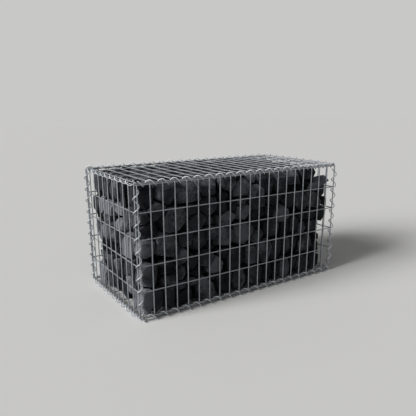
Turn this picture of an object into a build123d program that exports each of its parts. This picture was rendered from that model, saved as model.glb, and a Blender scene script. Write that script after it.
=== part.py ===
# Stone-filled basket of welded mesh, one metre long, laced along its twelve edges with spirals.
# Millimetres. X runs along the basket, the front looks towards -Y, Z is up from the ground.
import os
from math import atan2, ceil, cos, floor, hypot, pi, sin, sqrt

from build123d import *

os.makedirs("parts", exist_ok=True)

# Basket, between the centre lines of its edge wires
basket_length = 1000
basket_depth = 500
basket_height = 500

# Cells are 50 by 100: fine wires every 50, coarse wires every 100 inside them
coarse_spacing = 100
fine_per_coarse = 2

# Mesh wire: four-sided bars with the cross-section of a 4.5 mm round wire
wire_diameter = 4.5
weld_bite = 0.9
wire_end = 3.0

# Fine wires of the upright panels stand this far outside the edge; panels clear one another by panel_gap
panel_offset = 7.0
panel_gap = 0.35

# Lacing spirals: right-handed, one turn to a fine cell, six straight lengths to a turn
coil_wire = 4.0
coil_face = 5.8
coil_sides = 6
seat = 0.3

# Share of a turn from a cross wire to where the spiral stands farthest out
long_peak_share = 0.12
short_peak_share = 0.16
post_peak_share = 0.21

# Stone fill in five lifts, and what it leaves open at the right, the back and the top
right_gaps = (40, 56, 36, 24, 16)
back_left_gap = 90
top_back_gap = 12
top_right_fall = 64
head_room = 8
fill_clearance = 0.3
ragged = 14
lift_edge = 5

# Wire sections, measured outward from the nominal planes
wire_far_side = wire_diameter / 2
wire_weld_side = (wire_diameter - weld_bite) / 2
wire_width = pi * wire_diameter**2 / 4 / (wire_far_side + wire_weld_side)
wire_half = wire_width / 2
wire_depth = wire_far_side + wire_weld_side
upright_weld = panel_offset - wire_weld_side
upright_inner = upright_weld - wire_depth
upright_outer = upright_weld + wire_depth

# The coarse wires of lid and base lie over the edge wires of the upright panels
flat_inner = wire_half + panel_gap
flat_weld = flat_inner + wire_depth
flat_outer = flat_weld + wire_depth

# A corner spiral just holds the fine edge wires of two upright panels, and all spirals are of one size
coil_grip = (upright_outer + wire_half) / sqrt(2)
coil_inner = coil_grip + seat
coil_outer = coil_inner + coil_wire
coil_reach = coil_outer / cos(pi / coil_sides)


def spiral_axis(low_corner, high_corner):
    # pulled outward until both inner corners are gripped; corners are given outward from the nominal edge
    mid_side = (low_corner[0] + high_corner[0]) / 2
    mid_up = (low_corner[1] + high_corner[1]) / 2
    across_side = low_corner[0] - high_corner[0]
    across_up = high_corner[1] - low_corner[1]
    span = hypot(across_side, across_up)
    pull = sqrt(max(coil_grip**2 - span**2 / 4, 0))
    return (mid_side + pull * across_up / span, mid_up + pull * across_side / span)


post_axis = spiral_axis((upright_outer, -wire_half), (-wire_half, upright_outer))
long_axis = spiral_axis((upright_inner, -wire_half), (-wire_half, flat_inner))

# The short spirals lie level with the long ones and grip the fine edge wire of lid or base
short_pull = sqrt(max(coil_grip**2 - (flat_outer - long_axis[1]) ** 2, 0))
short_axis = (short_pull - wire_half, long_axis[1])

# The base spirals rest on the ground
half_length = basket_length / 2
half_depth = basket_depth / 2
base_z = long_axis[1] + coil_outer
lid_z = base_z + basket_height
mid_z = base_z + basket_height / 2


def coarse_cells(size):
    return max(1, round(size / coarse_spacing))


def turn_length(size):
    return size / (coarse_cells(size) * fine_per_coarse)


def wire_bar(x_size, y_size, z_low, z_high):
    return Pos(0, 0, (z_low + z_high) / 2) * Box(x_size, y_size, z_high - z_low)


def welded_mesh(length, height, weld_plane, coarse_end):
    # fine wires along local Y, coarse wires along local X inside them, fused at every crossing
    fine = wire_bar(wire_width, height + 2 * wire_end, weld_plane, weld_plane + wire_depth)
    coarse = wire_bar(length + 2 * coarse_end, wire_width, weld_plane - wire_depth, weld_plane)
    fine_pitch = turn_length(length)
    coarse_pitch = height / coarse_cells(height)
    bars = []
    for i in range(coarse_cells(length) * fine_per_coarse + 1):
        bars.append(Pos(i * fine_pitch - length / 2, 0, 0) * fine)
    for j in range(coarse_cells(height) + 1):
        bars.append(Pos(0, j * coarse_pitch - height / 2, 0) * coarse)
    return bars[0].fuse(*bars[1:])


def spiral(axis_point, along, outward, flat_towards, turn, peak, low, high):
    # peak is a place along the axis where the wire stands farthest outward
    side = along.cross(outward)
    ring_inner = coil_inner / cos(pi / coil_sides)
    first_ring = atan2(flat_towards.dot(side), flat_towards.dot(outward)) + pi / coil_sides
    ring_step = turn / coil_sides
    ring_start = peak + turn * first_ring / (2 * pi)
    half_face = along * (coil_face / 2)
    rings = []
    for k in range(ceil((low - ring_start) / ring_step), floor((high - ring_start) / ring_step) + 1):
        angle = first_ring + 2 * pi * k / coil_sides
        spoke = outward * cos(angle) + side * sin(angle)
        centre = axis_point + along * (ring_start + k * ring_step)
        outer = centre + spoke * coil_reach
        rings.append((outer - half_face, outer + half_face, centre + spoke * ring_inner))
    faces = [Face(Wire.make_polygon(rings[0])), Face(Wire.make_polygon(rings[-1]))]
    for (left, right, inner), (next_left, next_right, next_inner) in zip(rings, rings[1:]):
        faces.append(Face(Wire.make_polygon([left, right, next_right, next_left])))
        faces.append(Face(Wire.make_polygon([right, inner, next_right])))
        faces.append(Face(Wire.make_polygon([inner, next_inner, next_right])))
        faces.append(Face(Wire.make_polygon([inner, left, next_inner])))
        faces.append(Face(Wire.make_polygon([left, next_left, next_inner])))
    return Solid(Shell(faces))


def save(shape, name):
    shape.label = name
    export_step(shape, "parts/" + name + ".step")


# Six welded panels; the coarse wires of the ends stop short of those of the front and back
side_mesh = welded_mesh(basket_length, basket_height, upright_weld, wire_end)
flat_mesh = welded_mesh(basket_length, basket_depth, flat_weld, wire_end)
end_mesh = welded_mesh(basket_depth, basket_height, upright_weld, upright_inner - panel_gap)
save(Plane((0, -half_depth, mid_z), (1, 0, 0), (0, -1, 0)).location * side_mesh, "front_panel")
save(Plane((0, half_depth, mid_z), (-1, 0, 0), (0, 1, 0)).location * side_mesh, "back_panel")
save(Plane((-half_length, 0, mid_z), (0, -1, 0), (-1, 0, 0)).location * end_mesh, "left_end_panel")
save(Plane((half_length, 0, mid_z), (0, 1, 0), (1, 0, 0)).location * end_mesh, "right_end_panel")
save(Plane((0, 0, lid_z), (1, 0, 0), (0, 0, 1)).location * flat_mesh, "lid_panel")
save(Plane((0, 0, base_z), (1, 0, 0), (0, 0, -1)).location * flat_mesh, "base_panel")

# Each set of spirals stops short of the set before it at the corners
corner_room = coil_reach + coil_face / 2 + seat
short_stop = half_depth + long_axis[0] - corner_room
post_low = base_z - long_axis[1] + corner_room
post_high = lid_z + long_axis[1] - corner_room
x_axis = Vector(1, 0, 0)
y_axis = Vector(0, 1, 0)
z_axis = Vector(0, 0, 1)

# Spirals along the four long edges
turn = turn_length(basket_length)
peak = long_peak_share * turn
for side_name, side in (("front", -1), ("back", 1)):
    for level_name, level, level_z in (("base", -1, base_z), ("lid", 1, lid_z)):
        start = Vector(0, side * (half_depth + long_axis[0]), level_z + level * long_axis[1])
        outward = Vector(0, side, level).normalized()
        coil = spiral(start, x_axis, outward, -z_axis, turn, peak, -half_length, half_length)
        save(coil, level_name + "_" + side_name + "_spiral")

# Spirals along the four short edges
turn = turn_length(basket_depth)
peak = half_depth + short_peak_share * turn
for side_name, side in (("left", -1), ("right", 1)):
    for level_name, level, level_z in (("base", -1, base_z), ("lid", 1, lid_z)):
        start = Vector(side * (half_length + short_axis[0]), 0, level_z + level * short_axis[1])
        outward = Vector(side, 0, level).normalized()
        coil = spiral(start, y_axis, outward, -z_axis, turn, peak, -short_stop, short_stop)
        save(coil, level_name + "_" + side_name + "_spiral")

# Spirals up the four corners
turn = turn_length(basket_height)
peak = base_z + post_peak_share * turn
for face_name, face in (("front", -1), ("back", 1)):
    for side_name, side in (("left", -1), ("right", 1)):
        start = Vector(side * (half_length + post_axis[0]), face * (half_depth + post_axis[1]), 0)
        outward = Vector(side, face, 0).normalized()
        coil = spiral(start, z_axis, outward, y_axis * face, turn, peak, post_low, post_high)
        save(coil, face_name + "_" + side_name + "_spiral")

# Stone fill: flush inside the coarse wires, cut back round the spirals and ragged at the right end
fill_skin = upright_inner - fill_clearance
fill_sole = flat_inner - fill_clearance
fill_front = -half_depth - fill_skin
fill_bottom = base_z - fill_sole
fill_top = lid_z - head_room
lift_height = (fill_top - fill_bottom) / len(right_gaps)
spiral_room = sqrt(2) * (coil_reach + fill_clearance)
corner_cut = 2 * fill_skin + spiral_room - post_axis[0] - post_axis[1]
edge_cut = fill_skin + spiral_room - short_axis[0] - short_axis[1]
foot_cut = edge_cut + fill_sole
top_cut = max(lift_edge, edge_cut - head_room)

left = -half_length - fill_skin
for i, right_gap in enumerate(right_gaps):
    top_lift = i == len(right_gaps) - 1
    right = half_length - right_gap
    back = -fill_front - (top_back_gap if top_lift else 0)
    step = ragged * (1 + (i % 3) / 2)
    outline = [
        (left, fill_front + corner_cut),
        (left + corner_cut, fill_front),
        (right - step / 2, fill_front),
        (right, fill_front + 2 * step),
        (right - step, fill_front / 4),
        (right - step / 3, -fill_front / 3),
        (right - 3 * step, back),
        (left + 2 * corner_cut, back),
        (left, -fill_front - back_left_gap),
    ]
    floor_plan = make_face(Polyline(*outline, close=True))
    lift = extrude(Pos(0, 0, fill_bottom + i * lift_height) * floor_plan, amount=lift_height)
    lift = chamfer(lift.edges().group_by(Axis.Z)[0], foot_cut if i == 0 else lift_edge)
    lift = chamfer(lift.edges().group_by(Axis.Z)[-1], top_cut if top_lift else lift_edge)
    if top_lift:
        slope = Plane((right - top_right_fall, 0, fill_top), (0, 1, 0), (1, 0, 1))
        lift = split(lift, bisect_by=slope, keep=Keep.BOTTOM)
    save(lift, "stone_fill_lift_" + str(i + 1))
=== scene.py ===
import math
import random

import bmesh
import bpy
import numpy as np
from mathutils import Euler, Matrix, Vector


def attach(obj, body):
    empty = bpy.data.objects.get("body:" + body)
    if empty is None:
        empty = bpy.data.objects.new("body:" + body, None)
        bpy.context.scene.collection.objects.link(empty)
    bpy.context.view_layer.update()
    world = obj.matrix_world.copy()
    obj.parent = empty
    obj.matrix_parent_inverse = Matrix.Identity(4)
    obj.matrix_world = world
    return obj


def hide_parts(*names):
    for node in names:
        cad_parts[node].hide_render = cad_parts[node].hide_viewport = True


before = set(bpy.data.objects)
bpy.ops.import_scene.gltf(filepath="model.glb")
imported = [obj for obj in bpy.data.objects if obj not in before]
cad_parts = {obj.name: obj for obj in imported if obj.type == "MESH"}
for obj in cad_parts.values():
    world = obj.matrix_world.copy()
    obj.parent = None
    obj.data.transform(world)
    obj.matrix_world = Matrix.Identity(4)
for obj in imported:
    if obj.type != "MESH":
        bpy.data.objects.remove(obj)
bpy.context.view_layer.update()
print("frame loaded:", len(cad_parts), "nodes")

# Sizes of the basket in metres, as the frame has them
basket = {
    "length": 1.0,           # between the middles of the edge wires
    "depth": 0.5,
    "height": 0.5,
    "fineCells": {"long": 20, "short": 10},
    "coarseCells": 5,
    "baseZ": 0.016803,       # the bottom edge wires above the floor
}
halfLength, halfDepth = basket["length"] / 2, basket["depth"] / 2
lidZ = basket["baseZ"] + basket["height"]
midZ = basket["baseZ"] + basket["height"] / 2


def setInputs(tree, node, inputs):
    # a number or a colour is set on the socket, another node's output is linked to it
    for key, value in inputs.items():
        if isinstance(value, bpy.types.NodeSocket):
            tree.links.new(value, node.inputs[key])
        else:
            node.inputs[key].default_value = value


def addNode(tree, kind, inputs=None, **settings):
    node = tree.nodes.new(kind)
    for name, value in settings.items():
        setattr(node, name, value)
    setInputs(tree, node, inputs or {})
    return node


def maths(tree, operation, *values):
    return addNode(tree, "ShaderNodeMath", dict(enumerate(values)), operation=operation).outputs[0]


def vector(tree, x=0.0, y=0.0, z=0.0):
    return addNode(tree, "ShaderNodeCombineXYZ", {"X": x, "Y": y, "Z": z}).outputs[0]


def newTree(name, inputs):
    # inputs holds each input's name with its first value, or with the kind of socket where it has none
    tree = bpy.data.node_groups.new(name, "GeometryNodeTree")
    tree.is_modifier = True
    tree.interface.new_socket("Geometry", in_out="OUTPUT", socket_type="NodeSocketGeometry")
    for label, value in inputs.items():
        kind = value if isinstance(value, str) else {int: "Int", float: "Float"}[type(value)]
        socket = tree.interface.new_socket(label, in_out="INPUT", socket_type="NodeSocket" + kind)
        if kind != value:
            socket.default_value = value
    return tree, tree.nodes.new("NodeGroupInput").outputs


def endTree(tree, geometry, finish):
    # real faces with their finish
    real = addNode(tree, "GeometryNodeRealizeInstances", {"Geometry": geometry})
    coated = addNode(tree, "GeometryNodeSetMaterial", {
        "Geometry": real.outputs["Geometry"], "Material": finish,
    })
    addNode(tree, "NodeGroupOutput", {"Geometry": coated.outputs["Geometry"]})


def roundWire(tree, given, curve):
    # wire along a curve, closed at its ends
    ring = addNode(tree, "GeometryNodeCurvePrimitiveCircle",
                   {"Resolution": given["Sides"], "Radius": given["Wire Radius"]})
    wire = addNode(tree, "GeometryNodeCurveToMesh",
                   {"Curve": curve, "Profile Curve": ring.outputs["Curve"], "Fill Caps": True})
    return wire.outputs["Mesh"]


def meshFromTree(name, tree, values, source=None):
    # runs the tree on one object and gives back a plain mesh object without modifiers
    carrier = bpy.data.objects.new(name + "Carrier", source or bpy.data.meshes.new(name + "Start"))
    bpy.context.collection.objects.link(carrier)
    modifier = carrier.modifiers.new("shape", "NODES")
    modifier.node_group = tree
    for item in tree.interface.items_tree:
        if item.in_out == "INPUT" and item.name in values:
            modifier[item.identifier] = values[item.name]
    bpy.context.view_layer.update()
    graph = bpy.context.evaluated_depsgraph_get()
    mesh = bpy.data.meshes.new_from_object(carrier.evaluated_get(graph), depsgraph=graph)
    bpy.data.objects.remove(carrier)
    mesh.name = name
    piece = bpy.data.objects.new(name, mesh)
    bpy.context.collection.objects.link(piece)
    return piece


def placed(origin, xDirection, zDirection):
    x, z = Vector(xDirection), Vector(zDirection)
    turn = Matrix((x, z.cross(x), z)).transposed().to_4x4()
    return Matrix.Translation(origin) @ turn


def shadeSmooth(piece, degrees):
    piece.data.shade_smooth()
    piece.data.set_sharp_from_angle(angle=math.radians(degrees))


def triangleCount(mesh):
    return sum(len(p.vertices) - 2 for p in mesh.polygons)


def newMaterial(name):
    mat = bpy.data.materials.new(name)
    mat.use_nodes = True
    return mat, mat.node_tree, mat.node_tree.nodes["Principled BSDF"]


def colorRamp(tree, value, stops):
    # stops are places with their colours, from the first to the last
    node = addNode(tree, "ShaderNodeValToRGB", {"Fac": value})
    elements = node.color_ramp.elements
    for element, (position, color) in zip(elements, (stops[0], stops[-1])):
        element.position, element.color = position, (*color, 1)
    for position, color in stops[1:-1]:
        elements.new(position).color = (*color, 1)
    return node.outputs["Color"]


# Dull galvanised wire: zinc flowers over larger patches
zincFinish = {
    "mesh": {"dull": (0.278, 0.295, 0.318), "bright": (0.430, 0.450, 0.477)},
    "spiral": {"dull": (0.410, 0.428, 0.452), "bright": (0.590, 0.610, 0.638)},
    "dullBelow": 0.3,
    "brightAbove": 0.68,
    "patchScale": 16.0,
    "patchDetail": 4.0,
    "flowerScale": 260.0,
    "flowerShare": 0.35,
    "roughness": (0.42, 0.62),
    "metallic": 0.6,
    "mirrorTint": (0.45, 0.46, 0.48, 1),     # weathered zinc mirrors little
    "bumpStrength": 0.15,
    "bumpDistance": 0.0003,
}


def zincMaterial(name, tones):
    mat, tree, shader = newMaterial(name)
    place = addNode(tree, "ShaderNodeTexCoord").outputs["Object"]
    patches = addNode(tree, "ShaderNodeTexNoise", {
        "Vector": place, "Scale": zincFinish["patchScale"], "Detail": zincFinish["patchDetail"],
    }).outputs["Fac"]
    flowers = addNode(tree, "ShaderNodeTexVoronoi", {
        "Vector": place, "Scale": zincFinish["flowerScale"],
    }).outputs["Distance"]
    blend = addNode(tree, "ShaderNodeMix", {
        "Factor": zincFinish["flowerShare"], "A": patches, "B": flowers,
    }, data_type="FLOAT")
    low, high = zincFinish["roughness"]
    rough = addNode(tree, "ShaderNodeMapRange", {"Value": patches, "To Min": low, "To Max": high})
    bump = addNode(tree, "ShaderNodeBump", {
        "Strength": zincFinish["bumpStrength"], "Distance": zincFinish["bumpDistance"], "Height": flowers,
    })
    setInputs(tree, shader, {
        "Base Color": colorRamp(tree, blend.outputs["Result"], (
            (zincFinish["dullBelow"], tones["dull"]), (zincFinish["brightAbove"], tones["bright"]),
        )),
        "Roughness": rough.outputs["Result"],
        "Metallic": zincFinish["metallic"],
        "Specular Tint": zincFinish["mirrorTint"],
        "Normal": bump.outputs["Normal"],
    })
    return mat


meshZinc = zincMaterial("meshZinc", zincFinish["mesh"])
spiralZinc = zincMaterial("spiralZinc", zincFinish["spiral"])

# Dark broken basalt: every stone has its tone, its own colour for most stones and painted shade of the
# pockets and gaps for the deep-set and wedged ones, with soft clouds and a fine grain over it
basaltFinish = {
    "stops": (
        (0.70, (0.0100, 0.0108, 0.0126)),
        (0.90, (0.0590, 0.0612, 0.0685)),
        (1.00, (0.186, 0.193, 0.211)),
    ),
    "base": 0.220,           # what the clouds, the stone's tone and the grain add up from
    "cloudShare": 0.65,
    "toneShare": 0.55,
    "grainShare": 0.21,
    "cloudScale": 14.0,
    "cloudDetail": 8.0,
    "cloudRoughness": 0.62,
    "grainScale": 180.0,
    "grainDetail": 5.0,
    "roughness": (0.74, 0.96),
    "specular": 0.04,
    "bumpStrength": 0.55,
    "bumpDistance": 0.0016,
}


def basaltMaterial(name):
    mat, tree, shader = newMaterial(name)
    place = addNode(tree, "ShaderNodeTexCoord").outputs["Object"]
    # the stone's tone: its own colour, or painted shade for the deep-set and wedged stones
    toneAndShade = addNode(tree, "ShaderNodeAttribute", attribute_name="stoneToneAndShade").outputs["Fac"]
    clouds = addNode(tree, "ShaderNodeTexNoise", {
        "Vector": place, "Scale": basaltFinish["cloudScale"], "Detail": basaltFinish["cloudDetail"],
        "Roughness": basaltFinish["cloudRoughness"],
    }).outputs["Fac"]
    grain = addNode(tree, "ShaderNodeTexNoise", {
        "Vector": place, "Scale": basaltFinish["grainScale"], "Detail": basaltFinish["grainDetail"],
    }).outputs["Fac"]
    tone = maths(tree, "MULTIPLY_ADD", clouds, basaltFinish["cloudShare"], basaltFinish["base"])
    tone = maths(tree, "MULTIPLY_ADD", toneAndShade, basaltFinish["toneShare"], tone)
    tone = maths(tree, "MULTIPLY_ADD", grain, basaltFinish["grainShare"], tone)
    low, high = basaltFinish["roughness"]
    rough = addNode(tree, "ShaderNodeMapRange", {"Value": clouds, "To Min": low, "To Max": high})
    bump = addNode(tree, "ShaderNodeBump", {
        "Strength": basaltFinish["bumpStrength"], "Distance": basaltFinish["bumpDistance"], "Height": grain,
    })
    setInputs(tree, shader, {
        "Base Color": colorRamp(tree, tone, basaltFinish["stops"]),
        "Roughness": rough.outputs["Result"],
        "Specular IOR Level": basaltFinish["specular"],
        "Normal": bump.outputs["Normal"],
    })
    return mat


basalt = basaltMaterial("anthraciteBasalt")
print("finishes ready: zinc for the mesh and the spirals, basalt for the stones")

# Welded mesh: fine wires up the panel, coarse wires along it inside them
meshWire = {
    "radius": 0.00225,
    "sides": 14,
    "end": {"fine": 0.003, "long": 0.003, "short": 0.0008},     # past the edge wires
    # middle of the fine and of the coarse wires outside the nominal plane
    "upright": (0.0070, 0.0034),
    "flat": (0.00816, 0.00456),
    "weldRadius": 0.0029,
    "weldFlatness": 0.55,
    "weldLevels": 2,
    "smoothBelow": 40,       # degrees between faces
}


def buildPanelTree():
    tree, given = newTree("weldedMeshPanel", {
        "Length": basket["length"],
        "Height": basket["height"],
        "Fine Wires": basket["fineCells"]["long"] + 1,
        "Coarse Wires": basket["coarseCells"] + 1,
        "Wire Radius": meshWire["radius"],
        "Wire End": meshWire["end"]["fine"],
        "Coarse End": meshWire["end"]["long"],
        "Fine Depth": meshWire["upright"][0],
        "Coarse Depth": meshWire["upright"][1],
        "Weld Radius": meshWire["weldRadius"],
        "Sides": meshWire["sides"],
        "Finish": "Material",
    })
    halfLong = maths(tree, "MULTIPLY", given["Length"], 0.5)
    halfHigh = maths(tree, "MULTIPLY", given["Height"], 0.5)

    def wireLayer(along, across, reach, past, count, span, depth):
        # one wire as a curve, set out in a row across the panel
        end = maths(tree, "ADD", reach, past)
        start = maths(tree, "MULTIPLY", end, -1.0)
        line = addNode(tree, "GeometryNodeCurvePrimitiveLine", {
            "Start": vector(tree, **{along: start}), "End": vector(tree, **{along: end}),
        })
        low = maths(tree, "MULTIPLY", span, -1.0)
        row = addNode(tree, "GeometryNodeMeshLine", {
            "Count": count, "Start Location": vector(tree, **{across: low}, z=depth),
            "Offset": vector(tree, **{across: span}, z=depth),
        }, mode="END_POINTS")
        spread = addNode(tree, "GeometryNodeInstanceOnPoints", {
            "Points": row.outputs["Mesh"], "Instance": line.outputs["Curve"],
        })
        real = addNode(tree, "GeometryNodeRealizeInstances", {"Geometry": spread.outputs["Instances"]})
        return roundWire(tree, given, real.outputs["Geometry"])

    fine = wireLayer("y", "x", halfHigh, given["Wire End"], given["Fine Wires"], halfLong,
                     given["Fine Depth"])
    coarse = wireLayer("x", "y", halfLong, given["Coarse End"], given["Coarse Wires"], halfHigh,
                       given["Coarse Depth"])

    # a flat bead of weld in every crossing
    grid = addNode(tree, "GeometryNodeMeshGrid", {
        "Size X": given["Length"], "Size Y": given["Height"],
        "Vertices X": given["Fine Wires"], "Vertices Y": given["Coarse Wires"],
    })
    between = maths(tree, "MULTIPLY", maths(tree, "ADD", given["Fine Depth"], given["Coarse Depth"]), 0.5)
    lift = addNode(tree, "GeometryNodeTransform", {
        "Geometry": grid.outputs["Mesh"], "Translation": vector(tree, z=between),
    })
    bead = addNode(tree, "GeometryNodeMeshIcoSphere", {
        "Subdivisions": meshWire["weldLevels"], "Radius": given["Weld Radius"],
    })
    beads = addNode(tree, "GeometryNodeInstanceOnPoints", {
        "Points": lift.outputs["Geometry"], "Instance": bead.outputs["Mesh"],
        "Scale": (1.0, 1.0, meshWire["weldFlatness"]),
    })
    together = addNode(tree, "GeometryNodeJoinGeometry")
    for part in (fine, coarse, beads.outputs["Instances"]):
        tree.links.new(part, together.inputs["Geometry"])
    endTree(tree, together.outputs["Geometry"], given["Finish"])
    return tree


panelTree = buildPanelTree()
panels = {
    "front_panel": ("long", (0, -halfDepth, midZ), (1, 0, 0), (0, -1, 0)),
    "back_panel": ("long", (0, halfDepth, midZ), (-1, 0, 0), (0, 1, 0)),
    "left_end_panel": ("short", (-halfLength, 0, midZ), (0, -1, 0), (-1, 0, 0)),
    "right_end_panel": ("short", (halfLength, 0, midZ), (0, 1, 0), (1, 0, 0)),
    "lid_panel": ("long", (0, 0, lidZ), (1, 0, 0), (0, 0, 1)),
    "base_panel": ("long", (0, 0, basket["baseZ"]), (1, 0, 0), (0, 0, -1)),
}
for node, (kind, origin, along, outward) in panels.items():
    fineDepth, coarseDepth = meshWire["flat" if outward[2] else "upright"]
    wires = meshFromTree(node + "_wires", panelTree, {
        "Length": basket["length"] if kind == "long" else basket["depth"],
        "Height": basket["depth"] if outward[2] else basket["height"],
        "Fine Wires": basket["fineCells"][kind] + 1,
        "Coarse End": meshWire["end"][kind],
        "Fine Depth": fineDepth,
        "Coarse Depth": coarseDepth,
        "Finish": meshZinc,
    })
    wires.data.transform(placed(origin, along, outward))
    shadeSmooth(wires, meshWire["smoothBelow"])
    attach(wires, "root")
    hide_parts(node)
    print(node, triangleCount(wires.data), "triangles")

# Spirals that lace the twelve edges, one turn to a fine cell
lacing = {
    "wireRadius": 0.0020,
    "radius": 0.01023,       # from the axis to the middle of the wire
    "turn": 0.05,
    "stepsPerTurn": 36,
    "sides": 12,
    "longAxis": (0.005637, 0.004574),      # axis outward and upward of the nominal edge
    "shortAxis": (0.003401, 0.004574),
    "postAxis": 0.003643,
    "longStop": 0.002,       # short of the corners
    "shortReach": 0.2362,    # each way from the middle
    "postStop": 0.0148,
    "longPeak": 0.006,       # past a cross wire, where the spiral stands farthest out
    "shortPeak": 0.008,
    "postPeak": 0.0105,
    "smoothBelow": 50,       # degrees between faces
}


def buildSpiralTree():
    # local Z runs along the edge, local X points outward
    tree, given = newTree("lacingSpiral", {
        "Low": 0.0,
        "High": basket["length"],
        "Peak": 0.0,
        "Turn": lacing["turn"],
        "Radius": lacing["radius"],
        "Wire Radius": lacing["wireRadius"],
        "Steps": basket["fineCells"]["long"] * lacing["stepsPerTurn"],
        "Sides": lacing["sides"],
        "Finish": "Material",
    })
    line = addNode(tree, "GeometryNodeMeshLine", {
        "Count": given["Steps"], "Start Location": vector(tree, z=given["Low"]),
        "Offset": vector(tree, z=given["High"]),
    }, mode="END_POINTS")
    spot = addNode(tree, "GeometryNodeInputPosition")
    height = addNode(tree, "ShaderNodeSeparateXYZ", {0: spot.outputs[0]}).outputs["Z"]
    turns = maths(tree, "DIVIDE", maths(tree, "SUBTRACT", height, given["Peak"]), given["Turn"])
    angle = maths(tree, "MULTIPLY", turns, 2 * math.pi)
    wound = vector(
        tree,
        x=maths(tree, "MULTIPLY", maths(tree, "COSINE", angle), given["Radius"]),
        y=maths(tree, "MULTIPLY", maths(tree, "SINE", angle), given["Radius"]),
        z=height,
    )
    wind = addNode(tree, "GeometryNodeSetPosition", {"Geometry": line.outputs["Mesh"], "Position": wound})
    curve = addNode(tree, "GeometryNodeMeshToCurve", {"Mesh": wind.outputs["Geometry"]})
    endTree(tree, roundWire(tree, given, curve.outputs["Curve"]), given["Finish"])
    return tree


def laceEdge(node, axisPoint, along, outward, low, high, peak):
    coil = meshFromTree(node + "_wire", spiralTree, {
        "Low": low, "High": high, "Peak": peak,
        "Steps": int((high - low) / lacing["turn"] * lacing["stepsPerTurn"]) + 1,
        "Finish": spiralZinc,
    })
    coil.data.transform(placed(axisPoint, Vector(outward).normalized(), along))
    shadeSmooth(coil, lacing["smoothBelow"])
    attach(coil, "root")
    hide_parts(node)
    return triangleCount(coil.data)


spiralTree = buildSpiralTree()
coilTriangles = 0
outLong, upLong = lacing["longAxis"]
outShort, upShort = lacing["shortAxis"]
longReach = halfLength - lacing["longStop"]
for level, up, levelZ in (("base", -1, basket["baseZ"]), ("lid", 1, lidZ)):
    for side, sign in (("front", -1), ("back", 1)):
        spot = (0, sign * (halfDepth + outLong), levelZ + up * upLong)
        coilTriangles += laceEdge(level + "_" + side + "_spiral", spot, (1, 0, 0), (0, sign, up),
                                  -longReach, longReach, lacing["longPeak"])
    for side, sign in (("left", -1), ("right", 1)):
        spot = (sign * (halfLength + outShort), 0, levelZ + up * upShort)
        coilTriangles += laceEdge(level + "_" + side + "_spiral", spot, (0, 1, 0), (sign, 0, up),
                                  -lacing["shortReach"], lacing["shortReach"], lacing["shortPeak"])
postLow, postHigh = basket["baseZ"] + lacing["postStop"], lidZ - lacing["postStop"]
for face, faceSign in (("front", -1), ("back", 1)):
    for side, sign in (("left", -1), ("right", 1)):
        spot = (sign * (halfLength + lacing["postAxis"]), faceSign * (halfDepth + lacing["postAxis"]), 0)
        coilTriangles += laceEdge(face + "_" + side + "_spiral", spot, (0, 0, 1), (sign, faceSign, 0),
                                  postLow, postHigh, basket["baseZ"] + lacing["postPeak"])
print("twelve spirals", coilTriangles, "triangles")
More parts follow.
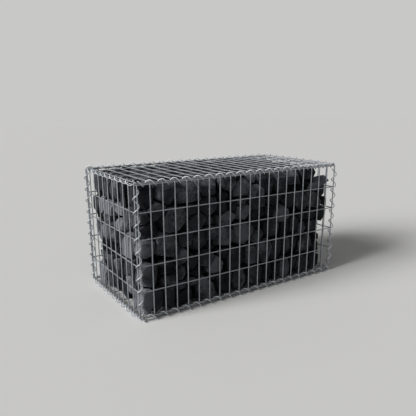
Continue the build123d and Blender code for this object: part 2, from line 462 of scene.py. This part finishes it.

# The broken stones of the front course as the photograph shows them, in millimetres: place of the middle
# along the basket and above the bottom edge wires, width, height, how far behind the coarse wires, tone
# from dark to pale, how much of the height slopes back at the top, and the lean in degrees where it is
# plain to see
# The tone column is partly the stones' own tone and partly painted shade: the deep-set stones in the pockets
# and the dark stones at the left corner have low tones that paint the shade there
frontCourse = (
    (-457, 455, 68, 96, 14, 0.25, 0), (-420, 470, 60, 60, 45, 0.6, 0.5), (-375, 458, 78, 92, 4, 0.45, 0.35),
    (-278, 452, 118, 95, 3, 0.5, 0.55), (-198, 465, 88, 72, 8, 0.5, 0.45), (-135, 470, 60, 60, 45, 0.6, 0.5),
    (-97, 468, 76, 60, 6, 0.5, 0.15), (-118, 420, 48, 30, 12, 0.3, 0.1), (-22, 437, 80, 74, 4, 0.6, 0.3),
    (-45, 486, 84, 30, 30, 0.2, 0), (55, 420, 88, 46, 6, 0.65, 0.3), (103, 455, 100, 84, 8, 0.35, 0.3),
    (35, 480, 55, 34, 30, 0.6, 0.5), (187, 445, 58, 86, 8, 0.4, 0.25), (255, 465, 98, 66, 8, 0.45, 0.45),
    (355, 474, 100, 52, 10, 0.25, 0.15), (250, 415, 74, 40, 28, 0.15, 0),
    (418, 418, 150, 32, 2, 0.9, 0.4, 10), (322, 422, 40, 46, 25, 0.2, 0),
    (-470, 372, 52, 40, 10, 0.5, 0.1), (-452, 328, 78, 48, 14, 0.3, 0), (-415, 396, 66, 74, 8, 0.5, 0.2),
    (-348, 349, 88, 92, 3, 0.55, 0.1), (-272, 380, 52, 42, 10, 0.45, 0.1), (-245, 332, 92, 70, 4, 0.5, 0.1),
    (-195, 385, 92, 76, 8, 0.4, 0.2), (-175, 318, 46, 36, 25, 0.3, 0), (-120, 372, 50, 46, 14, 0.35, 0),
    (-102, 325, 82, 56, 5, 0.55, 0.1), (-70, 372, 46, 46, 18, 0.25, 0), (-22, 388, 46, 26, 8, 0.5, 0.2),
    (-17, 343, 64, 62, 4, 0.6, 0.1), (55, 373, 86, 44, 8, 0.45, 0.1), (62, 325, 86, 52, 16, 0.3, 0),
    (152, 375, 86, 44, 10, 0.35, 0.1), (133, 325, 56, 50, 16, 0.3, 0), (200, 305, 86, 80, 3, 0.6, 0.2),
    (240, 360, 80, 66, 12, 0.35, 0.1), (315, 352, 80, 82, 8, 0.5, 0.1), (402, 352, 108, 94, 4, 0.55, 0.1),
    (466, 333, 40, 30, 14, 0.25, 0), (285, 320, 45, 50, 35, 0.1, 0),
    (-462, 255, 66, 68, 6, 0.6, 0.1), (-376, 258, 102, 82, 3, 0.65, 0.1), (-300, 267, 62, 56, 12, 0.35, 0.1),
    (-318, 200, 46, 64, 8, 0.6, 0.1), (-232, 256, 68, 78, 12, 0.35, 0.1), (-173, 275, 46, 44, 14, 0.45, 0.1),
    (-173, 228, 44, 44, 42, 0.1, 0), (-107, 253, 76, 84, 5, 0.6, 0.1), (-15, 250, 92, 82, 4, 0.65, 0.1),
    (70, 268, 56, 48, 26, 0.2, 0), (66, 230, 68, 48, 12, 0.4, 0.1), (147, 250, 82, 78, 6, 0.5, 0.1),
    (222, 250, 58, 82, 16, 0.25, 0), (280, 250, 52, 82, 10, 0.35, 0.1), (331, 275, 48, 42, 14, 0.35, 0),
    (328, 225, 52, 46, 8, 0.6, 0.1), (384, 278, 64, 58, 12, 0.35, 0), (392, 228, 82, 50, 8, 0.45, 0.1),
    (442, 279, 70, 72, 6, 0.3, 0),
    (-462, 155, 64, 80, 6, 0.5, 0.1), (-405, 150, 40, 80, 34, 0.15, 0), (-373, 163, 66, 62, 12, 0.35, 0),
    (-370, 117, 66, 36, 8, 0.5, 0.3), (-320, 132, 52, 54, 10, 0.5, 0.2), (-265, 167, 56, 54, 12, 0.4, 0),
    (-200, 168, 88, 56, 8, 0.45, 0), (-247, 117, 84, 34, 24, 0.2, 0), (-158, 135, 82, 72, 4, 0.6, 0.1),
    (-115, 175, 52, 42, 18, 0.3, 0), (-62, 147, 66, 84, 8, 0.4, 0), (-12, 150, 34, 78, 24, 0.2, 0),
    (38, 140, 66, 82, 8, 0.5, 0), (104, 148, 82, 94, 5, 0.55, 0), (178, 147, 56, 94, 10, 0.4, 0),
    (230, 155, 52, 78, 8, 0.45, 0), (279, 160, 50, 66, 14, 0.35, 0), (255, 115, 60, 34, 30, 0.15, 0),
    (350, 148, 90, 90, 6, 0.5, 0), (412, 166, 46, 46, 16, 0.25, 0), (418, 120, 48, 42, 12, 0.3, 0),
    (-470, 52, 50, 88, 5, 0.7, 0.1), (-424, 60, 50, 74, 10, 0.45, 0), (-375, 60, 50, 76, 10, 0.45, 0.1),
    (-322, 84, 48, 28, 10, 0.4, 0), (-300, 42, 84, 64, 14, 0.3, 0), (-268, 86, 46, 26, 12, 0.4, 0),
    (-202, 52, 84, 84, 6, 0.5, 0), (-165, 86, 42, 24, 20, 0.3, 0), (-108, 52, 72, 84, 10, 0.35, 0),
    (-35, 57, 66, 74, 6, 0.55, 0), (8, 60, 30, 80, 30, 0.15, 0), (56, 48, 84, 82, 10, 0.4, 0),
    (127, 50, 54, 82, 12, 0.35, 0), (178, 48, 46, 78, 16, 0.25, 0), (230, 58, 54, 74, 8, 0.55, 0),
    (280, 66, 50, 58, 12, 0.35, 0), (280, 22, 56, 30, 38, 0.1, 0), (345, 60, 74, 70, 8, 0.45, 0),
    (418, 52, 74, 82, 10, 0.35, 0),
    (434, 384, 56, 44, 8, 0.35, 0), (424, 384, 56, 40, 44, 0.1, 0),
    (420, 205, 42, 40, 20, 0.25, 0), (432, 96, 46, 36, 20, 0.2, 0), (400, 205, 40, 40, 44, 0.1, 0),
    (385, 396, 76, 56, 44, 0.2, 0),
)

# The same for the left end, with the place across the basket first
# The low tones of the deep-set stones in the pockets and of the row in shade at mid-height are painted shade;
# the other tones are the stones' own
leftCourse = (
    (170, 455, 64, 92, 5, 0.5, 0), (112, 450, 50, 94, 12, 0.36, 0), (62, 452, 50, 94, 6, 0.42, 0),
    (10, 448, 52, 92, 10, 0.35, 0), (-42, 452, 52, 94, 5, 0.4, 0), (-92, 450, 46, 92, 10, 0.25, 0),
    (-136, 450, 42, 90, 22, 0, 0), (-180, 450, 44, 90, 10, 0.3, 0), (178, 402, 60, 36, 20, 0.05, 0),
    (182, 355, 52, 86, 6, 0.35, 0), (120, 362, 78, 74, 4, 0.68, 0.15), (40, 366, 84, 60, 4, 0.7, 0.2),
    (-45, 379, 80, 42, 8, 0.6, 0.2), (-112, 350, 56, 92, 10, 0.45, 0.1), (-168, 362, 54, 74, 8, 0.4, 0.1),
    (-185, 312, 40, 38, 34, 0, 0), (90, 316, 76, 30, 10, 0.48, 0), (34, 322, 40, 34, 34, 0, 0),
    (-42, 347, 36, 30, 36, 0, 0), (-52, 312, 82, 52, 4, 0.7, 0.3), (178, 308, 60, 40, 24, 0.05, 0),
    (168, 255, 74, 92, 5, 0.5, 0), (100, 262, 66, 84, 6, 0.55, 0.1), (42, 262, 56, 82, 8, 0.5, 0.1),
    (-12, 258, 42, 74, 26, 0.05, 0), (-58, 256, 50, 62, 10, 0.42, 0), (-130, 252, 86, 86, 3, 0.75, 0.1),
    (-188, 226, 38, 38, 34, 0, 0), (-190, 268, 40, 52, 10, 0.5, 0),
    (168, 172, 84, 58, 22, 0, 0), (95, 176, 74, 58, 26, 0.02, 0), (25, 174, 64, 56, 26, 0.08, 0),
    (-38, 178, 62, 50, 18, 0.14, 0), (78, 128, 74, 50, 12, 0.4, 0), (4, 128, 66, 60, 10, 0.48, 0.2),
    (-52, 132, 44, 66, 18, 0.12, 0), (-100, 154, 56, 72, 12, 0.34, 0), (-158, 162, 60, 76, 6, 0.44, 0.1),
    (-130, 108, 62, 30, 30, 0, 0), (160, 128, 76, 44, 16, 0.45, 0), (-190, 118, 44, 40, 14, 0.4, 0),
    (165, 66, 84, 96, 5, 0.74, 0.1), (98, 62, 60, 86, 14, 0.4, 0), (45, 56, 50, 84, 22, 0.36, 0),
    (0, 56, 46, 84, 26, 0.16, 0), (-45, 58, 44, 80, 24, 0.2, 0), (-92, 72, 60, 66, 22, 0.72, 0.15),
    (-145, 62, 50, 76, 26, 0.4, 0), (-188, 66, 40, 62, 32, 0.1, 0), (180, 298, 70, 60, 44, 0, 0),
    (172, 156, 76, 60, 46, 0, 0),
)

# The basket's stones in metres; heights are above the bottom edge wires
stoneFill = {
    "seed": 41,
    "lifts": 5,
    "liftHeight": 0.0971,
    "front": 0.2508,         # the faces that the stones lean on, just inside the coarse wires
    "left": 0.5008,
    "bottom": -0.0018,
    "top": 0.5018,
    "listedRight": 0.484,    # the listed stones stay inside this, the others inside the line below
    "nearFace": 0.12,        # a stone whose middle is farther in than this isn't cut by a face
    "cornerRoom": 0.011,     # kept free for the corner spirals
    # the step at the upper right behind the listed stones, and the open corner at the back of the left end
    "stepDown": {"from": 0.33, "x": 0.402, "z": 0.436, "above": 0.43, "tilt": 0.06},
    "openCorner": {"from": -0.42, "tilt": 0.2},
}
# Where the fill stops, as heights and places: to the right, and to the back at the left end
rightLine = (
    (0.0, 0.452), (0.09, 0.452), (0.16, 0.434), (0.245, 0.434), (0.255, 0.462), (0.29, 0.462), (0.30, 0.455),
    (0.33, 0.474), (0.345, 0.456), (0.40, 0.456), (0.41, 0.468), (0.44, 0.468), (0.455, 0.415), (0.49, 0.405),
)
leftBackLine = (
    (0.0, 0.207), (0.07, 0.212), (0.11, 0.222), (0.2, 0.214), (0.3, 0.230), (0.39, 0.222), (0.42, 0.210),
    (0.49, 0.200),
)


def lineAt(line, z):
    return float(np.interp(z, *zip(*line)))


def stone(at, half, turn, tone, brow=0, face=None, wedge=False):
    # brow: how much of the height slopes back; face: the way the open face looks and how far out it lies
    return {"at": at, "half": half, "turn": turn, "tone": tone, "brow": brow, "face": face, "wedge": wedge}


# How the listed stones are made, in millimetres as their rows
listed = {
    "lean": 9.0,             # degrees, where a row doesn't give its own
    "press": (2, 5),         # wider and higher than their open faces
    "depth": (0.42, 12),     # half depth: a share of the size of the face, and what is added
    "sunk": 0.85,            # share of the half depth from the face to the middle
    "cornerPlace": -440,     # front stones farther left than this have less depth
    "cornerDepth": 34,
    "lowest": 28,            # a stone that starts below this lies on the base mesh
    "sole": -2,
    "backShift": -45,        # the back course is the front one turned round, moved along
    "backEnd": -462,         # and it stops here
}


def listedStone(rng, row, side):
    place, z, width, height, back, tone, brow, *leans = row
    lean = math.radians(leans[0] if leans else rng.uniform(-listed["lean"], listed["lean"]))
    if z - height / 2 < listed["lowest"]:
        top = z + height / 2
        height, z = top - listed["sole"], (top + listed["sole"]) / 2
    share, added = listed["depth"]
    depth = share * math.sqrt(width * height) + added
    if side == "front" and place < listed["cornerPlace"]:
        depth = min(depth, listed["cornerDepth"])
    wide, high = width / 2 + listed["press"][0], height / 2 + listed["press"][1]
    sunk = back + depth * listed["sunk"]
    if side == "left":
        outward, reach = Vector((-1, 0, 0)), stoneFill["left"]
        at = Vector((-halfLength * 1000 + sunk, place, z))
        half = Vector((depth, wide, high))
    else:
        outward, reach = Vector((0, -1 if side == "front" else 1, 0)), stoneFill["front"]
        at = Vector((place, outward.y * (halfDepth * 1000 - sunk), z))
        half = Vector((wide, depth, high))
    turn = Matrix.Rotation(lean, 3, outward)
    return stone(at / 1000, half / 1000, turn, tone, brow, (outward, reach - back / 1000))


# Small stones that close the upper edge at the back
backEdge = {
    "places": (-0.43, 0.39, 0.056),      # first, last and step along the basket
    "y": 0.226,
    "z": 0.484,
    "play": 0.008,
    "half": (0.033, 0.030, 0.024),
    "size": (0.9, 1.15),
}

# Small stones wedged in the gaps at the right end and at the open corner of the left end; their very low
# tones are painted shade of the gaps
wedges = {
    "heights": (0.025, 0.475, 0.036),    # first, last and step
    "spread": 0.02,          # the line at the right end is read this much above and below as well
    "inward": (0.030, 0.072, 0.114),
    "rightY": (-0.216, -0.182),
    "leftX": -0.462,
    "leftGap": 0.006,
    "half": (0.017, 0.023),
    "turn": 3.0,             # up to this about each axis, in radians
    # painted shade of the gaps: darker than any other stone
    "tones": (-0.2, 0.1),
    "inset": 0.012,          # farther inside the faces than the other stones
}

# The stones inside, in rows and layers behind the listed ones
inner = {
    "step": (0.088, 0.080, 0.083),       # mean distance along, across and up
    "first": (-0.385, -0.118, 0.041),
    "lastY": 0.14,
    "underTop": 0.02,
    "rightRoom": 0.040,
    "stagger": 0.4,
    "wobble": 0.20,          # shares of the step
    "size": (0.60, 0.76),
    "turn": 24,              # degrees
    "tones": (0.0, 0.6),
}


def wedgeStone(rng, at):
    half = Vector([rng.uniform(*wedges["half"]) for _ in range(3)])
    turn = Euler([rng.uniform(0, wedges["turn"]) for _ in range(3)]).to_matrix()
    return stone(Vector(at), half, turn, rng.uniform(*wedges["tones"]), wedge=True)


def innerStones(rng):
    stones = []
    step, first = inner["step"], inner["first"]
    layer, z = 0, first[2]
    while z < stoneFill["top"] - inner["underTop"]:
        row, y = 0, first[1]
        while y < inner["lastY"]:
            room = lineAt(rightLine, z) - inner["rightRoom"] - first[0]
            count = round(room / step[0])
            for k in range(count + 1):
                shift = (row + layer) % 2 * inner["stagger"]
                x = first[0] + room * (k + shift) / (count + inner["stagger"])
                wobble = Vector([rng.uniform(-1, 1) * inner["wobble"] * s for s in step])
                half = Vector([s * rng.uniform(*inner["size"]) for s in step])
                turn = Euler([math.radians(rng.uniform(-inner["turn"], inner["turn"])) for _ in range(3)])
                tone = rng.uniform(*inner["tones"])
                stones.append(stone(Vector((x, y, z)) + wobble, half, turn.to_matrix(), tone))
            y += step[1]
            row += 1
        z += step[2]
        layer += 1
    return stones


def stoneSeeds(rng):
    seeds = [listedStone(rng, row, "front") for row in frontCourse]
    seeds += [listedStone(rng, row, "left") for row in leftCourse]
    for place, z, width, height, back, tone, *rest in frontCourse:
        turned = listed["backShift"] - place
        if turned - width / 2 > listed["backEnd"]:
            seeds.append(listedStone(rng, (turned, z, width, height, back, 1 - tone, *rest), "back"))
    for x in np.arange(*backEdge["places"]):
        at = Vector((x + rng.uniform(-backEdge["play"], backEdge["play"]), backEdge["y"], backEdge["z"]))
        half = Vector([s * rng.uniform(*backEdge["size"]) for s in backEdge["half"]])
        seeds.append(stone(at, half, Matrix.Identity(3), rng.uniform(*inner["tones"])))
    for z in np.arange(*wedges["heights"]):
        for inward in wedges["inward"]:
            reach = min(lineAt(rightLine, z + shift) for shift in (-wedges["spread"], 0, wedges["spread"]))
            for y in wedges["rightY"]:
                seeds.append(wedgeStone(rng, (reach - inward, y, z)))
            y = lineAt(leftBackLine, z) - wedges["leftGap"] - inward
            seeds.append(wedgeStone(rng, (wedges["leftX"], y, z)))
    return seeds + innerStones(rng)


# How a stone is broken out of a block: tilt of the cut, and its least and greatest share of the half size
breakage = {
    "block": 2.4,            # of the half sizes
    "sides": (0.16, 0.95, 1.02),
    "edges": (0.45, 1.0, 1.14),
    "edgeChance": 0.5,
    "corners": (0.5, 0.98, 1.12),
    "cornerChance": 0.55,
    "browSlope": (0.62, 0.78, 0.10),     # outward, upward and tilt
    "faceTilt": 0.09,
    # how far a stone's own face may lie behind the basket's, and its tilt
    "sidePlay": (0.006, 0.07),
    "bottomPlay": (0.004, 0.08),
    "topPlay": (0.006, 0.045),
    "rightPlay": (0.004, 0.08),
    "neighbours": 29,        # the nearest stones that a stone gives way to
    "play": (0.0008, 0.0028),            # gap to a neighbour
    "leastCorners": 6,       # what is left with fewer, or with less volume in cubic metres, is dropped
    "leastVolume": 1.2e-5,
    "mergeWithin": 0.003,
    "dissolveBelow": 0.001,
    "edgeWear": (0.0015, 0.0042),        # width of the worn edges
}


def clipCell(bm, point, normal):
    # keeps what lies behind the plane and closes the cut
    geometry = bm.verts[:] + bm.edges[:] + bm.faces[:]
    result = bmesh.ops.bisect_plane(bm, geom=geometry, dist=1e-7, plane_co=point, plane_no=normal,
                                    clear_outer=True)
    cutEdges = [e for e in result["geom_cut"] if isinstance(e, bmesh.types.BMEdge)]
    if len(cutEdges) >= 3:
        bmesh.ops.contextual_create(bm, geom=cutEdges)


def support(seed, normal):
    # how far the stone's ellipsoid reaches in a direction
    own = seed["turn"].transposed() @ normal
    return math.sqrt(sum((h * n) ** 2 for h, n in zip(seed["half"], own)))


def tilted(rng, normal, amount):
    return (Vector(normal) + Vector([rng.uniform(-amount, amount) for _ in range(3)])).normalized()


def onFace(centre, direction, reach):
    # the point of the face in front of the stone's middle
    return centre + direction * (reach - centre.dot(direction))


def breakStone(rng, seed):
    # a block with its corners and edges broken off
    centre, half, turn = seed["at"], seed["half"], seed["turn"]
    bm = bmesh.new()
    size = turn.to_4x4() @ Matrix.Diagonal((*(half * breakage["block"]), 1.0))
    bmesh.ops.create_cube(bm, size=1.0, matrix=Matrix.Translation(centre) @ size)

    def chip(normal, tilt, low, high):
        normal = turn @ tilted(rng, normal, tilt)
        clipCell(bm, centre + normal * support(seed, normal) * rng.uniform(low, high), normal)

    for axis in range(3):
        for sign in (-1, 1):
            chip([sign * (k == axis) for k in range(3)], *breakage["sides"])
    for first, second in ((0, 1), (0, 2), (1, 2)):
        for a in (-1, 1):
            for b in (-1, 1):
                if rng.random() < breakage["edgeChance"]:
                    chip([a * (k == first) + b * (k == second) for k in range(3)], *breakage["edges"])
    for corner in range(8):
        if rng.random() < breakage["cornerChance"]:
            chip([1 if corner >> k & 1 else -1 for k in range(3)], *breakage["corners"])
    if seed["brow"]:
        outward, reach = seed["face"]
        ahead, upward, tilt = breakage["browSlope"]
        edge = onFace(centre, outward, reach) + Vector((0, 0, half.z * (1 - 2 * seed["brow"])))
        clipCell(bm, edge, tilted(rng, outward * ahead + Vector((0, 0, upward)), tilt))
    return bm


def clipToNeighbours(rng, bm, number, seeds, places):
    # the gap between two stones divides their distance as their sizes do; a wedged stone cuts no other
    seed = seeds[number]
    offsets = places - places[number]
    distances = np.sqrt((offsets**2).sum(1))
    for j in np.argsort(distances)[1:breakage["neighbours"] + 1]:
        if seeds[j]["wedge"]:
            continue
        normal = Vector(offsets[j]) / distances[j]
        own, other = support(seed, normal), support(seeds[j], normal)
        if own + other > distances[j]:
            reach = distances[j] * (own / (own + other))
            clipCell(bm, seed["at"] + normal * (reach - rng.uniform(*breakage["play"])), normal)


def clipToBasket(rng, bm, seed):
    centre = seed["at"]
    if seed["face"]:
        direction, reach = seed["face"]
        clipCell(bm, onFace(centre, direction, reach), tilted(rng, direction, breakage["faceTilt"]))
    right = stoneFill["listedRight"] if seed["face"] else lineAt(rightLine, centre.z)
    inset = wedges["inset"] if seed["wedge"] else 0
    for normal, reach, (play, tilt) in (
        ((0, -1, 0), stoneFill["front"], breakage["sidePlay"]),
        ((0, 1, 0), stoneFill["front"], breakage["sidePlay"]),
        ((-1, 0, 0), stoneFill["left"], breakage["sidePlay"]),
        ((0, 0, -1), -stoneFill["bottom"], breakage["bottomPlay"]),
        ((0, 0, 1), stoneFill["top"], breakage["topPlay"]),
        ((1, 0, 0), right, breakage["rightPlay"]),
    ):
        direction = Vector(normal)
        spot = onFace(centre, direction, reach - inset)
        if (spot - centre).dot(direction) < stoneFill["nearFace"]:
            clipCell(bm, spot, direction)
            clipCell(bm, spot - direction * rng.uniform(0, play), tilted(rng, normal, tilt))
    step = stoneFill["stepDown"]
    if not seed["face"] and centre.x > step["from"]:
        normal = (1, 0, 0) if centre.z > step["above"] else (0, 0, 1)
        clipCell(bm, Vector((step["x"], centre.y, step["z"])), tilted(rng, normal, step["tilt"]))
    for sign in (-1, 1):
        corner = Vector((-1, sign, 0)).normalized()
        clipCell(bm, corner * ((halfLength + halfDepth) / math.sqrt(2) - stoneFill["cornerRoom"]), corner)
    if centre.x < stoneFill["openCorner"]["from"]:
        clipCell(bm, Vector((centre.x, lineAt(leftBackLine, centre.z), centre.z)),
                 tilted(rng, (0, 1, 0), stoneFill["openCorner"]["tilt"]))


def makeStones():
    # one list for each lift, with every stone's mesh and tone
    rng = random.Random(stoneFill["seed"])
    seeds = stoneSeeds(rng)
    places = np.array([s["at"][:] for s in seeds])
    lifts = [[] for _ in range(stoneFill["lifts"])]
    for number, seed in enumerate(seeds):
        bm = breakStone(rng, seed)
        if not seed["wedge"]:
            clipToNeighbours(rng, bm, number, seeds, places)
        clipToBasket(rng, bm, seed)
        if len(bm.verts) < breakage["leastCorners"] or bm.calc_volume() <= breakage["leastVolume"]:
            bm.free()
            continue
        bmesh.ops.remove_doubles(bm, verts=bm.verts[:], dist=breakage["mergeWithin"])
        bmesh.ops.dissolve_degenerate(bm, edges=bm.edges[:], dist=breakage["dissolveBelow"])
        bmesh.ops.recalc_face_normals(bm, faces=bm.faces[:])
        bmesh.ops.bevel(bm, geom=bm.edges[:], offset=rng.uniform(*breakage["edgeWear"]), segments=1,
                        profile=0.5, affect="EDGES", clamp_overlap=True)
        lift = int((seed["at"].z - stoneFill["bottom"]) / stoneFill["liftHeight"])
        lifts[min(stoneFill["lifts"] - 1, max(0, lift))].append((bm, seed["tone"]))
    return lifts


# Wear of the stones' faces: a blur of their corners, then two sizes of roughness
stoneWear = {
    "levels": 1,
    "blur": 1,
    "rough": 0.0040,
    "roughScale": 24.0,
    "fineRough": 0.0010,
    "fineScale": 95.0,
    "inward": 0.62,          # above a half, so stones shrink more than they grow
    "patternShift": (7.0, 5.0, 3.0),     # by the stone's tone
    "smoothBelow": 28,       # degrees between faces
}


def buildStoneTree():
    tree, given = newTree("brokenStones", {
        "Geometry": "Geometry",
        "Levels": stoneWear["levels"],
        "Wear": stoneWear["blur"],
        "Rough": stoneWear["rough"],
        "Rough Scale": stoneWear["roughScale"],
        "Fine Rough": stoneWear["fineRough"],
        "Fine Scale": stoneWear["fineScale"],
        "Finish": "Material",
    })
    dense = addNode(tree, "GeometryNodeSubdivideMesh", {"Mesh": given["Geometry"], "Level": given["Levels"]})
    spot = addNode(tree, "GeometryNodeInputPosition").outputs[0]
    blur = addNode(tree, "GeometryNodeBlurAttribute", {
        "Value": spot, "Iterations": given["Wear"],
    }, data_type="FLOAT_VECTOR")
    current = addNode(tree, "GeometryNodeSetPosition", {
        "Geometry": dense.outputs["Mesh"], "Position": blur.outputs["Value"],
    }).outputs["Geometry"]
    own = addNode(tree, "GeometryNodeInputNamedAttribute", {"Name": "stoneToneAndShade"}, data_type="FLOAT")
    pattern = addNode(tree, "ShaderNodeVectorMath", {
        0: own.outputs["Attribute"], 1: stoneWear["patternShift"], 2: spot,
    }, operation="MULTIPLY_ADD").outputs[0]
    for amount, scale, detail in (("Rough", "Rough Scale", 3.0), ("Fine Rough", "Fine Scale", 4.0)):
        noise = addNode(tree, "ShaderNodeTexNoise", {
            "Vector": pattern, "Scale": given[scale], "Detail": detail,
        }).outputs["Fac"]
        size = maths(tree, "MULTIPLY", maths(tree, "SUBTRACT", noise, stoneWear["inward"]), given[amount])
        normal = addNode(tree, "GeometryNodeInputNormal").outputs[0]
        push = addNode(tree, "ShaderNodeVectorMath", {0: normal, "Scale": size}, operation="SCALE")
        current = addNode(tree, "GeometryNodeSetPosition", {
            "Geometry": current, "Offset": push.outputs[0],
        }).outputs["Geometry"]
    endTree(tree, current, given["Finish"])
    return tree


def joinStones(name, cells):
    # one rough mesh, with each stone's tone on its points
    vertices, faces, tones = [], [], []
    for bm, tone in cells:
        first = len(vertices)
        bm.verts.index_update()
        vertices += [v.co + Vector((0, 0, basket["baseZ"])) for v in bm.verts]
        faces += [[first + v.index for v in f.verts] for f in bm.faces]
        tones += [tone] * len(bm.verts)
        bm.free()
    mesh = bpy.data.meshes.new(name)
    mesh.from_pydata(vertices, [], faces)
    mesh.attributes.new("stoneToneAndShade", "FLOAT", "POINT").data.foreach_set("value", tones)
    return mesh


stoneTree = buildStoneTree()
stoneTotal = 0
for number, cells in enumerate(makeStones(), 1):
    name = "stones_lift_%d" % number
    stones = meshFromTree(name, stoneTree, {"Finish": basalt}, joinStones("roughStones%d" % number, cells))
    shadeSmooth(stones, stoneWear["smoothBelow"])
    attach(stones, "root")
    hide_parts("stone_fill_lift_%d" % number)
    stoneTotal += len(cells)
    print(name, len(cells), "stones", triangleCount(stones.data), "triangles")
print("stones in all", stoneTotal)

# Floor and light
studio = {
    "floorHalf": 30,
    "floorColor": (0.92, 0.915, 0.90),
    "floorBounce": (0.26, 0.26, 0.255),    # the floor as the part's soft light sees it
    "floorRoughness": 0.9,
    "floorSpecular": 0.2,
    "backdrop": (0.580, 0.578, 0.568),
    "skyColor": (1.0, 1.0, 1.0),
    "skyStrength": 0.135,
    "keyStrength": 3.4,
    "keyTowards": (1.0, -0.05, -0.50),
    "keySpread": 28.0,
}


def seenDirectly(tree):
    # 1 for the camera, and for what metal or glass mirrors
    path = addNode(tree, "ShaderNodeLightPath").outputs
    either = maths(tree, "MAXIMUM", path["Is Camera Ray"], path["Is Glossy Ray"])
    return maths(tree, "MAXIMUM", either, path["Is Transmission Ray"])


def makeFloor():
    mesh = bpy.data.meshes.new("studioFloor")
    corners = ((-1, -1), (1, -1), (1, 1), (-1, 1))
    mesh.from_pydata([(x * studio["floorHalf"], y * studio["floorHalf"], 0) for x, y in corners], [],
                     [(0, 1, 2, 3)])
    mat, tree, shader = newMaterial("paleFloor")
    tone = addNode(tree, "ShaderNodeMix", {
        "Factor": seenDirectly(tree), "A": (*studio["floorBounce"], 1), "B": (*studio["floorColor"], 1),
    }, data_type="RGBA")
    setInputs(tree, shader, {
        "Base Color": tone.outputs["Result"],
        "Roughness": studio["floorRoughness"],
        "Specular IOR Level": studio["floorSpecular"],
    })
    mesh.materials.append(mat)
    floor = bpy.data.objects.new("studioFloor", mesh)
    bpy.context.collection.objects.link(floor)


def makeWorld():
    world = bpy.data.worlds.new("softSky")
    bpy.context.scene.world = world
    world.use_nodes = True
    tree = world.node_tree
    tree.nodes.clear()
    sky = addNode(tree, "ShaderNodeBackground", {
        "Color": (*studio["skyColor"], 1), "Strength": studio["skyStrength"],
    })
    seen = addNode(tree, "ShaderNodeBackground", {"Color": (*studio["backdrop"], 1)})
    mix = addNode(tree, "ShaderNodeMixShader", {
        "Fac": seenDirectly(tree), 1: sky.outputs[0], 2: seen.outputs[0],
    })
    addNode(tree, "ShaderNodeOutputWorld", {"Surface": mix.outputs[0]})


def softSun(name, towards, strength, spread):
    lamp = bpy.data.lights.new(name, "SUN")
    lamp.energy = strength
    lamp.angle = math.radians(spread)
    holder = bpy.data.objects.new(name, lamp)
    holder.rotation_euler = Vector(towards).to_track_quat("-Z", "Y").to_euler()
    bpy.context.collection.objects.link(holder)


# The photograph's camera, fitted to the wires
photoCamera = {
    "place": (-1.132046, -1.665941, 0.772391),
    "yaw": 34.505,           # degrees from +Y towards +X
    "pitch": -14.843,
    "roll": 0.1087,
    "sensorWidth": 36.0,
    "focalPixels": 446.714,
    "imagePixels": 416,
    "centre": (9.2375, 19.0891),     # of the view, right of and below the middle of the picture
    "clip": (0.05, 100),
}


def makeCamera():
    data = bpy.data.cameras.new("photoCamera")
    data.sensor_width = photoCamera["sensorWidth"]
    data.lens = photoCamera["sensorWidth"] * photoCamera["focalPixels"] / photoCamera["imagePixels"]
    data.shift_x = -photoCamera["centre"][0] / photoCamera["imagePixels"]
    data.shift_y = photoCamera["centre"][1] / photoCamera["imagePixels"]
    data.clip_start, data.clip_end = photoCamera["clip"]
    yaw, pitch, roll = (math.radians(photoCamera[k]) for k in ("yaw", "pitch", "roll"))
    ahead = Vector((math.sin(yaw) * math.cos(pitch), math.cos(yaw) * math.cos(pitch), math.sin(pitch)))
    level = Vector((math.cos(yaw), -math.sin(yaw), 0))
    above = level.cross(ahead)
    right = level * math.cos(roll) + above * math.sin(roll)
    top = above * math.cos(roll) - level * math.sin(roll)
    turn = Matrix((right, top, -ahead)).transposed().to_4x4()
    holder = bpy.data.objects.new("photoCamera", data)
    holder.matrix_world = Matrix.Translation(photoCamera["place"]) @ turn
    bpy.context.collection.objects.link(holder)
    bpy.context.scene.camera = holder


makeFloor()
makeWorld()
softSun("leftSoftLight", studio["keyTowards"], studio["keyStrength"], studio["keySpread"])
makeCamera()
bpy.context.scene.view_settings.view_transform = "Standard"
print("floor, light and camera ready")
